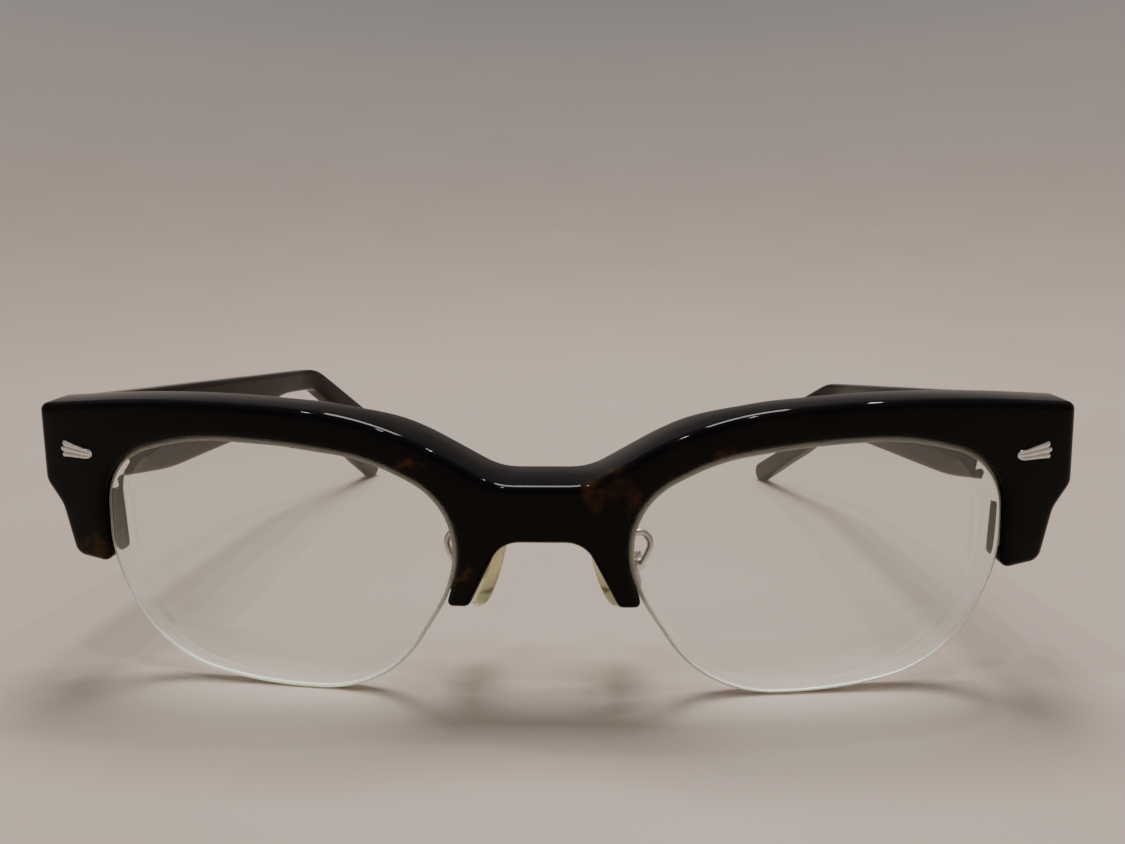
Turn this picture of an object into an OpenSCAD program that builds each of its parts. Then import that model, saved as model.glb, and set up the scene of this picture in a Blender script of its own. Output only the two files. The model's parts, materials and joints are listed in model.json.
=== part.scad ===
// Half-rim eyeglasses: a thick one-piece brow front, two lenses hung on nylon cords,
// adjustable nose pads and two folding side arms (temples).
// Millimetres. +X is the wearer's left, +Y goes back along the temples, +Z is up.
// The origin is on the table under the middle of the frame's box.

/* [Lenses] */
// Width of one lens opening
lens_w = 50.8; // [40:0.2:62]
// Height of one lens
lens_h = 36.6; // [30:0.2:45]
// Radius of the lenses' front surfaces
lens_front_r = 170; // [150:5:220]
// Radius of the left lens's rear surface
lens_rear_r_left = 88; // [70:1:110]
// Radius of the right lens's rear surface
lens_rear_r_right = 100; // [75:1:120]
// Lens thickness at its optical centre
lens_centre_t = 1.4; // [1.2:0.1:3]
// How far the lens rim sits behind the front's face
lens_setback = 0.8; // [0.4:0.1:1.6]
// Distance of the lens groove behind the lens's front surface
groove_setback = 0.6; // [0.4:0.05:1]
// Width of the lens groove and of the cord in it
groove_w = 0.6; // [0.4:0.05:0.8]
// Depth of the lens groove
groove_d = 0.5; // [0.3:0.05:0.8]
// Gap between a lens and the front
lens_gap = 0.1; // [0.05:0.05:0.3]

/* [Front] */
// Distance between the lens openings across the nose
bridge_w = 22.8; // [16:0.2:28]
// Height of the bridge
bridge_h = 8; // [5:0.5:12]
// Height of the brow over the lenses
brow_h = 5.5; // [3:0.5:8]
// Width of an end piece beside its lens
end_w = 9.1; // [8:0.1:12]
// Thickness of the front round the lenses
rim_t = 6.4; // [4:0.2:8]
// Thickness of the front at the bridge
bridge_t = 9.6; // [8:0.2:12]
// Radius of the front's curve, seen from above
front_r = 300; // [200:10:500]
// Lean of the front's top edge towards the viewer, in degrees
lean = 3.5; // [0:0.5:6]

/* [Temples] */
// Length from the hinge to the ear bend
temple_l = 91; // [75:1:110]
// Length of the tip from the bend to its end
tip_l = 52; // [44:1:58]
// Height of a temple at its front end
temple_h = 12.4; // [9:0.2:15]
// Height of a temple at its neck, just before the bend
neck_h = 5; // [4:0.2:8]
// Height of a temple's tip
tip_h = 6.8; // [5:0.2:9]
// Thickness of a temple
temple_t = 4.2; // [3.4:0.1:5]
// Downward slope of the left temple, in degrees
temple_slope_left = 7.5; // [4:0.5:9]
// Downward slope of the right temple, in degrees
temple_slope_right = 5; // [4:0.5:9]
// How far the left tip turns in towards the head
tip_in_left = 15; // [6:0.5:18]
// How far the right tip turns in towards the head
tip_in_right = 11; // [6:0.5:18]
// Gap between a temple's end and the front
butt_gap = 0.3; // [0.2:0.05:0.5]

/* [Hinges] */
// Radius of the hinge knuckles
knuckle_r = 1.5; // [1.3:0.05:1.8]
// Height of one knuckle
knuckle_h = 1.05; // [0.9:0.05:1.6]
// Radius of the hinge screw's shank
hinge_screw_r = 0.65; // [0.5:0.05:0.8]
// Radial running clearance round the screws, where a part turns
run_gap = 0.05; // [0.02:0.01:0.08]
// Gap between neighbouring knuckles
knuckle_gap = 0.06; // [0.04:0.02:0.12]
// Thickness of the hinge plates
plate_t = 1.1; // [0.8:0.1:1.4]

/* [Nose pads] */
// Length of a nose pad
pad_l = 14; // [11:0.5:16]
// Width of a nose pad
pad_w = 7.6; // [6:0.2:9]
// Thickness of a nose pad
pad_t = 2.4; // [2:0.1:3]
// Radius of the pad arm's wire
arm_r = 0.55; // [0.4:0.05:0.7]
// Radius of the pad screw's shank
pad_screw_r = 0.5; // [0.4:0.05:0.6]
// Wall of the pad box
box_wall = 0.45; // [0.35:0.05:0.6]

/* [Hidden] */
$fn = 64;
arc_step = 8;                                     // degrees of an outline's arc per facet

acetate = "#1c1614";
horn = "#3a2b22";
silver = "#c8c8cc";
nylon = "#e6e6dc";
clear = [0.85, 0.93, 0.9, 0.35];
amber = [0.85, 0.8, 0.55, 0.6];

half_w = bridge_w / 2 + lens_w + end_w;           // half the front's width at its knee
brow_z = lens_h + brow_h;                         // height of the brow's crown
bridge_z = lens_h - 13.5;                         // height of the bridge's underside
nasal_z = lens_h - 22.8;                          // height of the nasal leg's end
temporal_z = lens_h - 19.5;                       // height of the temporal leg's end
knee_z = lens_h - 7.6;                            // height of the knee in the outer side
hinge_z = lens_h - 1.8;
plaque_z = hinge_z - 1;
rear_r = front_r - rim_t;                         // radius of the front's rear face

// ---------- outlines ----------
// An outline is a list of corners [x, y, radius], counter-clockwise.
function xy(p) = [p[0], p[1]];
function unit(v) = v / norm(v);
function left_of(v) = [-v[1], v[0]];
function at(p, i) = p[(i + len(p)) % len(p)];
function edge(p, i) = xy(at(p, i + 1)) - xy(at(p, i));
function bend(p, i) = let (a = edge(p, i - 1), b = edge(p, i))
    atan2(a[0] * b[1] - a[1] * b[0], a * b);
function reach(p, i) = at(p, i)[2] * tan(abs(bend(p, i)) / 2);
function room(p, i) = min(1, norm(edge(p, i)) / max(0.001, reach(p, i) + reach(p, i + 1)));
function fitted(p, i) = reach(p, i) * min(room(p, i), room(p, i - 1));
function turned(v, a) = [v[0] * cos(a) - v[1] * sin(a), v[0] * sin(a) + v[1] * cos(a)];
function corner(p, i) =
    let (c = xy(at(p, i)), t = fitted(p, i), w = bend(p, i))
    t < 0.01 ? [c] :
    let (side = left_of(unit(edge(p, i - 1))) * sign(w) * t / tan(abs(w) / 2),
         start = c - unit(edge(p, i - 1)) * t,
         n = ceil(abs(w) / arc_step))
    [for (k = [0 : n]) start + side - turned(side, w * k / n)];
function rounded(p) = [for (i = [0 : len(p) - 1]) each corner(p, i)];
// The same outline moved inwards by d, or outwards when d is negative
function inset(p, d) = [for (i = [0 : len(p) - 1])
    let (na = left_of(unit(edge(p, i - 1))), nb = left_of(unit(edge(p, i))),
         c = xy(p[i]) + d * (na + nb) / (1 + na * nb))
    [c[0], c[1], max(0, p[i][2] - d * sign(bend(p, i)))]];
function reversed(p) = [for (i = [len(p) - 1 : -1 : 0]) p[i]];
function mirrored(p) = [for (q = reversed(p)) [-q[0], q[1], q[2]]];

// Where the line through two corners crosses the height z
function x_between(a, b, z) = a[0] + (b[0] - a[0]) * (z - a[1]) / (b[1] - a[1]);
// A corner of the lens's outline: u across from the nose, v up, as shares of the lens's box
function on_lens(u, v, r) = [bridge_w / 2 + u * lens_w, v * lens_h, r];
// The opening's edge, from the nasal leg over the top to the temporal leg
rim = [on_lens(0, 0.534, 13), on_lens(0, 0.786, 11), on_lens(0.2215, 0.942, 25), on_lens(0.4616, 1, 100),
       on_lens(0.7217, 1, 35), on_lens(0.9833, 0.9, 10)];
// The lens's free lower edge, from the nasal leg round to the temporal leg
lower_edge = [on_lens(0.0295, 0.403, 16), on_lens(0.2114, 0, 18), on_lens(0.5787, 0, 64),
              on_lens(0.8864, 0.09, 17), on_lens(1.0026, 0.493, 20)];
lens_outline = inset(concat(lower_edge, reversed(rim)), lens_gap);

// Half of the front's outline: bridge underside, nasal leg, opening, temporal leg, outer side, brow
front_half = concat(
    [[5.5, bridge_z, 4], [10.05, nasal_z, 1.2], [x_between(rim[0], lower_edge[0], nasal_z), nasal_z, 0.7]],
    rim,
    [[x_between(rim[5], lower_edge[4], temporal_z), temporal_z, 1.2], [half_w - 3.3, temporal_z + 0.8, 2],
     [half_w - 2.15, knee_z - 3.5, 4], [half_w, knee_z, 2.5], [half_w - 1, brow_z - 1.95, 1.2],
     [half_w - 22.2, brow_z, 175], [bridge_w / 2 + 10.4, brow_z - 1.9, 42], [6, bridge_z + bridge_h, 9]]);
front_outline = concat(front_half, mirrored(front_half));

// ---------- the front's curved frame ----------
// Depth of an arc of radius r about the front's centre of curvature, at a distance x from the middle
function depth_at(r, x) = front_r - sqrt(r * r - x * x);

module along_y(from, to) {
    translate([0, to, 0]) rotate([90, 0, 0]) linear_extrude(to - from) children();
}
module drum(r, from, to) {
    translate([0, front_r, from]) cylinder(r = r, h = to - from, $fn = 256);
}
// Stands a piece of the front in the model's frame: leaned, its lens bottoms on the table
module in_front() {
    translate([0, -mid_y, lift]) rotate([lean, 0, 0]) children();
}
module on_side(s) {
    if (s > 0) children();
    else mirror([1, 0, 0]) children();
}

// ---------- lens surfaces ----------
nasal_p = [bridge_w / 2, depth_at(front_r, bridge_w / 2) + lens_setback];
temporal_p = [bridge_w / 2 + lens_w, depth_at(front_r, bridge_w / 2 + lens_w) + lens_setback];
chord = temporal_p - nasal_p;
front_centre = (nasal_p + temporal_p) / 2
    + left_of(unit(chord)) * sqrt(pow(lens_front_r, 2) - chord * chord / 4);
ball_c = [front_centre[0], front_centre[1], lens_h / 2];
// Depth of the sphere of radius r about the lens's centre of curvature, at a place x, z
function ball_y(r, x, z) = ball_c[1] - sqrt(r * r - pow(x - ball_c[0], 2) - pow(z - ball_c[2], 2));
optic_in = 1;                                     // optical centre, off the middle towards the nose
optic_x = bridge_w / 2 + lens_w / 2 - optic_in;
optic_p = [optic_x, ball_y(lens_front_r, optic_x, lens_h / 2), lens_h / 2];
optic_axis = unit(ball_c - optic_p);
groove_r = lens_front_r - groove_setback;

module ball(c, r) {
    translate(c) sphere(r = r, $fn = 360);
}
module groove_shell() {
    difference() {
        ball(ball_c, groove_r);
        ball(ball_c, groove_r - groove_w);
    }
}
// A band that follows the lens groove, between two insets of the lens's outline
module groove_band(outer, inner) {
    intersection() {
        groove_shell();
        along_y(-2, 16) difference() {
            polygon(rounded(inset(lens_outline, outer)));
            polygon(rounded(inset(lens_outline, inner)));
        }
    }
}
// The side of the opening where the liner lies; the cord has the other
cord_nasal_z = nasal_z + 3;
cord_temporal_z = temporal_z + 3.4;
module liner_side() {
    far = lens_w;
    along_y(-3, 17) polygon([[bridge_w / 2 - 4, cord_nasal_z], [bridge_w / 2 + lens_w + 4, cord_temporal_z],
        [bridge_w / 2 + lens_w + 4, lens_h + far], [bridge_w / 2 - 4, lens_h + far]]);
}
module cord_side() {
    far = lens_w;
    along_y(-3, 17) polygon([[bridge_w / 2 - 4, -far], [bridge_w / 2 + lens_w + 4, -far],
        [bridge_w / 2 + lens_w + 4, cord_temporal_z], [bridge_w / 2 - 4, cord_nasal_z]]);
}
// The cord's two ends turn back into holes in the legs
cord_r = groove_w / 2;
tail_l = rim_t - 1.6;
tail_lean = 12;
tail_z = [cord_nasal_z - cord_r, cord_temporal_z - 2 * cord_r];
tail_x = [x_between(rim[0], lower_edge[0], tail_z[0]) + cord_r,
          x_between(rim[5], lower_edge[4], tail_z[1]) - cord_r];
module cord_tails() {
    for (i = [0, 1])
        translate([tail_x[i], ball_y(groove_r - cord_r, tail_x[i], tail_z[i]), tail_z[i]])
            rotate([-90, 0, 0]) rotate([0, i == 0 ? -tail_lean : tail_lean, 0])
                cylinder(r = cord_r, h = tail_l, $fn = 20);
}

module lens(rear_r_lens) {
    difference() {
        intersection() {
            along_y(-6, 16) polygon(rounded(lens_outline));
            ball(ball_c, lens_front_r);
        }
        ball(optic_p + optic_axis * (lens_centre_t + rear_r_lens), rear_r_lens);
        groove_band(-1, groove_d);
        cord_tails();
    }
}
module lens_left() {
    color(clear) in_front() lens(lens_rear_r_left);
}
module lens_right() {
    color(clear) in_front() mirror([1, 0, 0]) lens(lens_rear_r_right);
}
module lower_cord(s) {
    color(nylon) in_front() on_side(s) {
        intersection() {
            groove_band(0, groove_d);
            cord_side();
        }
        cord_tails();
    }
}
liner_bite = 0.6;                                 // how deep the liner sits in the front
module upper_liner(s) {
    color(nylon) in_front() on_side(s) intersection() {
        groove_band(-lens_gap - liner_bite, groove_d);
        liner_side();
    }
}

// ---------- front ----------
bridge_flat = bridge_w / 2 + 6;                   // half width of the thick part behind the bridge
bridge_fade = bridge_w / 2 + 15.5;                // where it has faded into the rim's thickness
module front() {
    color(acetate) in_front() difference() {
        intersection() {
            along_y(-1, 40) polygon(rounded(front_outline));
            difference() {
                drum(front_r, -5, brow_z + 5);
                difference() {
                    drum(rear_r, -6, brow_z + 6);
                    translate([0, 0, -7]) linear_extrude(brow_z + 14) polygon(rounded([
                        [-bridge_fade, -5, 0], [bridge_fade, -5, 0],
                        [bridge_fade, depth_at(rear_r, bridge_fade), 0], [bridge_flat, bridge_t, 16],
                        [-bridge_flat, bridge_t, 16], [-bridge_fade, depth_at(rear_r, bridge_fade), 0]]));
                }
            }
        }
        for (s = [-1, 1]) on_side(s) {
            intersection() {
                groove_band(-lens_gap - liner_bite, -0.02);
                liner_side();
            }
            cord_tails();
            plaque();
            hinge_front_plate();
            pad_wire(arm_r);
        }
    }
}

// ---------- front plaques ----------
plaque_x = half_w - 6.5;
plaque_l = 5.2;
plaque_r = 1.15;                                  // radius of the plaque's blunt outer end
plaque_t = 0.9;
plaque_sink = 0.3;
plaque_tilt = 8;
rivet_r = 0.6;
rivet_pitch = 2.4;
module plaque() {
    tangent = asin(plaque_x / front_r);
    translate([plaque_x, depth_at(front_r, plaque_x), plaque_z]) rotate([0, 0, tangent]) {
        intersection() {
            rotate([0, -plaque_tilt, 0]) along_y(plaque_sink - plaque_t, plaque_sink) polygon(rounded([
                [-plaque_l / 2, -0.75, 0.7], [plaque_l / 2 - 0.6, -plaque_r - 0.1, 0.5],
                [plaque_l / 2, 0, 0.8], [plaque_l / 2 - 0.6, plaque_r + 0.1, 0.5],
                [-plaque_l / 2, 0.75, 0.7]]));
            // three flutes run along the face
            union() {
                for (k = [-1, 0, 1]) rotate([0, -plaque_tilt + k * 6, 0]) translate([-6, 0.15, k * 0.55])
                    rotate([0, 90, 0]) cylinder(r = 0.72, h = 12, $fn = 32);
                translate([-6, plaque_sink - 0.5, -6]) cube([12, 0.5, 12]);
            }
        }
        for (k = [-0.5, 0.5]) translate([k * rivet_pitch - 0.3, plaque_sink - 0.2, 0])
            rotate([-90, 0, 0]) cylinder(r = rivet_r, h = rim_t - 0.8, $fn = 24);
    }
}
module front_plaque(s) {
    color(silver) in_front() on_side(s) plaque();
}

// ---------- hinges ----------
hinge_x = half_w - 7.3;
hinge_turn = asin(hinge_x / rear_r);              // slope of the front's rear face at the hinge
pivot_back = 1.9;                                 // hinge axis behind the front's rear face
pivot_local = [hinge_x - pivot_back * sin(hinge_turn),
    depth_at(rear_r, hinge_x) + pivot_back * cos(hinge_turn), hinge_z];
plate_proud = 0.2;
knuckles = 5;
pitch = knuckle_h + knuckle_gap;
stack_h = knuckles * pitch - knuckle_gap;
plate_h = stack_h + 0.6;
plate_in = hinge_x - (bridge_w / 2 + lens_w);     // the plate's inner edge is in line with the lens's edge
plate_out = 1.5;

module hinge_front_plate() {
    translate([hinge_x, depth_at(rear_r, hinge_x), hinge_z]) rotate([0, 0, hinge_turn])
        translate([-plate_in, plate_proud - plate_t, -plate_h / 2])
            cube([plate_in + plate_out, plate_t, plate_h]);
}
// Knuckles numbered from the bottom; web is the side that they grow from
module knuckle_row(which, web, bore_r) {
    difference() {
        for (k = which) translate([0, 0, -stack_h / 2 + k * pitch]) {
            cylinder(r = knuckle_r, h = knuckle_h, $fn = 48);
            rotate([0, 0, web]) translate([0, -knuckle_r, 0])
                cube([pivot_back - plate_proud + 0.1, knuckle_r * 1.6, knuckle_h]);
        }
        translate([0, 0, -stack_h]) cylinder(r = bore_r, h = 2 * stack_h, $fn = 48);
    }
}
module hinge_front_half(s) {
    color(silver) in_front() on_side(s) difference() {
        union() {
            hinge_front_plate();
            translate(pivot_local) knuckle_row([0, 2, 4], hinge_turn - 90, hinge_screw_r);
        }
        plaque();
    }
}
head_r = 1.2;
head_h = 0.6;
module hinge_screw(s) {
    color(silver) in_front() on_side(s) translate(pivot_local) difference() {
        union() {
            translate([0, 0, -stack_h / 2]) cylinder(r = hinge_screw_r, h = stack_h, $fn = 48);
            translate([0, 0, stack_h / 2]) cylinder(r = head_r, h = head_h, $fn = 48);
        }
        translate([-2, -0.15, stack_h / 2 + head_h - 0.3]) cube([4, 0.3, 1]);
    }
}

// ---------- temples ----------
// The pivot seen in the model's frame, before it is centred on the table
lift = -ball_y(lens_front_r, on_lens(0.5, 0, 0)[0], lens_gap) * sin(lean) - lens_gap * cos(lean);
pivot_y = pivot_local[1] * cos(lean) - pivot_local[2] * sin(lean);
pivot_z = pivot_local[1] * sin(lean) + pivot_local[2] * cos(lean) + lift;
pivot_x = pivot_local[0];
temple_rise = brow_z - 1.95 - hinge_z - 0.2;      // temple's top edge above the hinge
// A temple's downward slope a is its own on each side
function slope_of(s) = s > 0 ? temple_slope_left : temple_slope_right;
function on_top(a, l) = [l, temple_rise - l * tan(a)];
function below(p, h, slope) = p - h * [sin(slope), cos(slope)];
// The tip's slope that puts its round end on the table
function tip_slope(a) =
    asin((pivot_z + on_top(a, temple_l)[1] - tip_h / 2) / norm([tip_l, tip_h / 2])) - atan2(tip_h / 2, tip_l);
function tip_dir(a) = [cos(tip_slope(a)), -sin(tip_slope(a))];
// Side view of a temple, y back from the hinge and z up from it; its round tip has a radius of tip_h / 2
function temple_side(a) =
    let (bend_p = on_top(a, temple_l), tip = tip_slope(a),
         tip_p = bend_p + (tip_l + tip_h / 2) * tip_dir(a),
         neck_p = below(bend_p, neck_h / cos((tip - a) / 2), (tip + a) / 2))
    [concat(on_top(a, -12), [0]),
     concat(below(on_top(a, -12), temple_h, 0), [0]),
     concat(below(on_top(a, 0.18 * temple_l), temple_h, 0), [60]),
     concat(below(on_top(a, 0.8 * temple_l), neck_h, 0), [40]),
     concat(neck_p, [9]),
     concat(below(tip_p, tip_h, tip), [tip_h / 2]),
     concat(tip_p, [tip_h / 2]),
     concat(bend_p, [16])];
function outer_x(l) = half_w - 1.3 - 0.015 * l;
tip_end = temple_l + tip_l;
// Plan view of a temple from its outer side to its inner side
function tip_in_of(s) = s > 0 ? tip_in_left : tip_in_right;
function temple_plan(tip_in, from_outer, to_outer) = [
    [outer_x(-12) - from_outer, -12, 0],
    [outer_x(temple_l - 6) - from_outer, temple_l - 6, 60],
    [outer_x(temple_l - 6) - tip_in - from_outer, tip_end, 0],
    [outer_x(temple_l - 6) - tip_in - to_outer, tip_end, 0],
    [outer_x(temple_l - 6) - to_outer, temple_l - 6, 56],
    [outer_x(-12) - to_outer, -12, 0]];
tip_y = [for (a = [temple_slope_left, temple_slope_right])
    temple_l + tip_l * cos(tip_slope(a)) + tip_h / 2 * (1 - sin(tip_slope(a)))];
temple_end_y = pivot_y + max(tip_y);
mid_y = (temple_end_y - (bridge_z + bridge_h) * sin(lean)) / 2;

// Stands a piece of a temple in the model's frame from coordinates about the hinge
module in_temple() {
    translate([0, pivot_y - mid_y, pivot_z]) children();
}
module side_cut(outline) {
    rotate([90, 0, 90]) linear_extrude(half_w) polygon(rounded(outline));
}
module plan_cut(outline) {
    translate([0, 0, -2 * lens_h]) linear_extrude(4 * lens_h) polygon(rounded(outline));
}
wire_t = 1.2;
wire_h = 2.4;
wire_skin = (temple_t - wire_t) / 2;
wire_drop = 0.5 * neck_h - wire_h / 2;            // wire's top edge under the temple's top edge
module wire_shape(a, tip_in) {
    start = on_top(a, 10) - [0, wire_drop];
    turn = on_top(a, temple_l - 1) - [0, wire_drop];
    last = turn + (tip_l - 5) * tip_dir(a);
    intersection() {
        side_cut([concat(start, [0]), concat(start - [0, wire_h], [0]),
            concat(below(turn, wire_h, (tip_slope(a) + a) / 2), [9]),
            concat(below(last, wire_h, tip_slope(a)), [1]), concat(last, [1]), concat(turn, [14])]);
        plan_cut(temple_plan(tip_in, wire_skin, temple_t - wire_skin));
    }
}
module core_wire(s) {
    color(silver) on_side(s) in_temple() wire_shape(slope_of(s), tip_in_of(s));
}
plate_l = 11;
module temple_plate(a) {
    // the plate is let into the temple's inner face, which stands off the hinge axis
    face = outer_x(0) - temple_t;
    rotate([-a, 0, 0]) translate([face - plate_proud - 0.1, 0.2, -plate_h / 2])
        cube([plate_t, plate_l, plate_h]);
}
module hinge_temple_half(s) {
    web = outer_x(0) - temple_t - pivot_x;
    color(silver) on_side(s) in_temple() {
        temple_plate(slope_of(s));
        translate([pivot_x, 0, 0]) rotate([lean, 0, 0]) difference() {
            for (k = [1, 3]) translate([0, 0, -stack_h / 2 + k * pitch]) {
                cylinder(r = knuckle_r, h = knuckle_h, $fn = 48);
                translate([0, -0.2, 0]) cube([web, knuckle_r + 0.2, knuckle_h]);
            }
            translate([0, 0, -stack_h]) cylinder(r = hinge_screw_r + run_gap, h = 2 * stack_h, $fn = 48);
        }
    }
}
module temple(s) {
    color(horn) on_side(s) difference() {
        intersection() {
            in_temple() side_cut(temple_side(slope_of(s)));
            in_temple() plan_cut(temple_plan(tip_in_of(s), 0, temple_t));
            in_front() drum(rear_r - butt_gap, -brow_z, 2 * brow_z);
        }
        in_temple() wire_shape(slope_of(s), tip_in_of(s));
        in_temple() temple_plate(slope_of(s));
    }
}

// ---------- nose pads ----------
pad_c = [bridge_w / 2 - 2.5, bridge_t + 3.9, nasal_z + 1.1];
pad_splay = 25;
pad_lean = 20;
screw_out = pad_t / 2 + 1.3;                      // pad screw's axis outside the pad's middle
box_in = 1.15;                                    // half the room inside the pad box
box_out = box_in + box_wall;
box_half_z = 1.3;
box_back = screw_out + 1.2;                       // inside of the box's back wall
module in_pad() {
    translate(pad_c) rotate([0, 0, -pad_splay]) rotate([0, -pad_lean, 0]) children();
}
function in_pad_frame(v) =
    let (x = v[0] * cos(pad_lean) - v[2] * sin(pad_lean), z = v[0] * sin(pad_lean) + v[2] * cos(pad_lean))
    pad_c + [x * cos(pad_splay) + v[1] * sin(pad_splay), v[1] * cos(pad_splay) - x * sin(pad_splay), z];
arm_end = in_pad_frame([box_back + box_wall, 0, 0]);
arm_path = [
    [bridge_w / 2 - 1.6, bridge_t - 2.4, nasal_z + 6.6],
    [bridge_w / 2 - 1.6, bridge_t + 1.6, nasal_z + 6.6],
    [bridge_w / 2 + 1.4, bridge_t + 3.2, nasal_z + 6.8],
    [bridge_w / 2 + 2.6, bridge_t + 3, nasal_z + 5],
    [arm_end[0] + 0.6, arm_end[1], arm_end[2] + 0.25],
    arm_end];
// A straight stretch of wire from a to b, longer by over at its far end
module rod(a, b, r, over) {
    v = b - a;
    translate(a) rotate([0, acos(v[2] / norm(v)), atan2(v[1], v[0])])
        cylinder(r = r, h = norm(v) + over, $fn = 24);
}
module pad_wire(r) {
    last = len(arm_path) - 2;
    for (i = [0 : last]) rod(arm_path[i], arm_path[i + 1], r, i < last ? 0.6 * r : 0);
}
module pad_box_shape() {
    difference() {
        translate([pad_t / 2 + 0.4, -box_out, -box_half_z])
            cube([box_back + box_wall - pad_t / 2 - 0.4, 2 * box_out, 2 * box_half_z]);
        translate([0, -box_in, -box_half_z - 1]) cube([box_back, 2 * box_in, 2 * box_half_z + 2]);
        translate([screw_out, -box_out - 1, 0]) rotate([-90, 0, 0])
            cylinder(r = pad_screw_r, h = 2 * box_out + 2, $fn = 32);
    }
}
module pad_arm(s) {
    color(silver) in_front() on_side(s) difference() {
        pad_wire(arm_r);
        in_pad() pad_box_shape();
    }
}
module pad_box(s) {
    color(silver) in_front() on_side(s) in_pad() pad_box_shape();
}
module pad_screw(s) {
    color(silver) in_front() on_side(s) in_pad() translate([screw_out, 0, 0]) rotate([-90, 0, 0]) difference() {
        union() {
            translate([0, 0, -box_out]) cylinder(r = pad_screw_r, h = 2 * box_out, $fn = 32);
            translate([0, 0, box_out]) cylinder(r = 0.9, h = 0.4, $fn = 32);
        }
        translate([-1, -0.1, box_out + 0.2]) cube([2, 0.2, 1]);
    }
}
module insert_shape(bore) {
    stud = box_in - 0.1;
    difference() {
        union() {
            translate([0, -1.8, -2.6]) cube([0.5, 3.6, 5.2]);
            translate([0, -stud, -1]) cube([screw_out, 2 * stud, 2]);
            translate([screw_out, -stud, 0]) rotate([-90, 0, 0]) cylinder(r = 1, h = 2 * stud, $fn = 32);
        }
        translate([screw_out, -3, 0]) rotate([-90, 0, 0]) cylinder(r = bore, h = 6, $fn = 32);
    }
}
module pad_insert(s) {
    color(silver) in_front() on_side(s) in_pad() insert_shape(pad_screw_r + run_gap);
}
// A pad's outline: an egg with its narrow end up
pad_points = 36;
pad_outline = [for (k = [0 : pad_points - 1]) let (a = 360 * k / pad_points)
    [pad_w / 2 * cos(a) * (1 - 0.16 * sin(a)), pad_l / 2 * sin(a)]];
module nose_pad(s) {
    color(amber) in_front() on_side(s) in_pad() difference() {
        intersection() {
            rotate([90, 0, 90]) translate([0, 0, -pad_t / 2]) linear_extrude(pad_t) polygon(pad_outline);
            ball([pad_l * 1.15 - pad_t / 2, 0, 0], pad_l * 1.15);
        }
        insert_shape(0.01);
    }
}

front();
lens_left();
lens_right();
lower_cord(1);  // lower_cord_left
lower_cord(-1);  // lower_cord_right
upper_liner(1);  // upper_liner_left
upper_liner(-1);  // upper_liner_right
front_plaque(1);  // front_plaque_left
front_plaque(-1);  // front_plaque_right
hinge_front_half(1);  // hinge_front_half_left
hinge_front_half(-1);  // hinge_front_half_right
hinge_screw(1);  // hinge_screw_left
hinge_screw(-1);  // hinge_screw_right
temple(1);  // temple_left
temple(-1);  // temple_right
core_wire(1);  // core_wire_left
core_wire(-1);  // core_wire_right
hinge_temple_half(1);  // hinge_temple_half_left
hinge_temple_half(-1);  // hinge_temple_half_right
pad_arm(1);  // pad_arm_left
pad_arm(-1);  // pad_arm_right
pad_box(1);  // pad_box_left
pad_box(-1);  // pad_box_right
pad_screw(1);  // pad_screw_left
pad_screw(-1);  // pad_screw_right
pad_insert(1);  // pad_insert_left
pad_insert(-1);  // pad_insert_right
nose_pad(1);  // nose_pad_left
nose_pad(-1);  // nose_pad_right
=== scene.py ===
# Looks for the half-rim eyeglasses: glossy tortoise brow front, hung lenses, metal fittings
# and folding temples. Shapes are worked out in millimetres and turned into metres once, in
# the mesh builder. +X is the wearer's left, +Y goes back along the temples, +Z is up. Each
# mirrored piece is drawn for the wearer's left and flipped for the right.
import json
import math

import bmesh
import bpy
import numpy as np
from mathutils import Matrix, Vector
from mathutils.geometry import delaunay_2d_cdt


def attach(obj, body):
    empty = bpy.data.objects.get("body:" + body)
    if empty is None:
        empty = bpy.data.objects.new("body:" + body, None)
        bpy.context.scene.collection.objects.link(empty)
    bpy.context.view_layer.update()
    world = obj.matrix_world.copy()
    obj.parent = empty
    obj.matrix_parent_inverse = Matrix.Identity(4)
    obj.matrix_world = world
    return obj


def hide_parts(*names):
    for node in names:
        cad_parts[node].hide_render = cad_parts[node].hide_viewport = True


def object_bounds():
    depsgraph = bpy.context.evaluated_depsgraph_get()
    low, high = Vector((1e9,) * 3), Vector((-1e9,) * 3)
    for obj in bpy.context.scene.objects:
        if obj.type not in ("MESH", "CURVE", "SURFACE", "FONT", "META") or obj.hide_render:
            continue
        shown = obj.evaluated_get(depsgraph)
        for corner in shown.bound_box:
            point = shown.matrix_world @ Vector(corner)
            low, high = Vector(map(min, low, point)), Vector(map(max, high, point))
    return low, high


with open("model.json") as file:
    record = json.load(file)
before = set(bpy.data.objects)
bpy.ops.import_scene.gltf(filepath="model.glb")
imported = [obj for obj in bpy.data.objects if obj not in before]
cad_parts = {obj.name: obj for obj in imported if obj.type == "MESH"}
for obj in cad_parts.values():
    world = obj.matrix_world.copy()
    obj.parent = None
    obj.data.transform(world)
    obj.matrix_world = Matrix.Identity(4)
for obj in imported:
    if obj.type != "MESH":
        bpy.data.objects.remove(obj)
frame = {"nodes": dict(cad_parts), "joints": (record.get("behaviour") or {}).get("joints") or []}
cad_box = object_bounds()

MM = 0.001
SIDES = {"left": 1, "right": -1}

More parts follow.
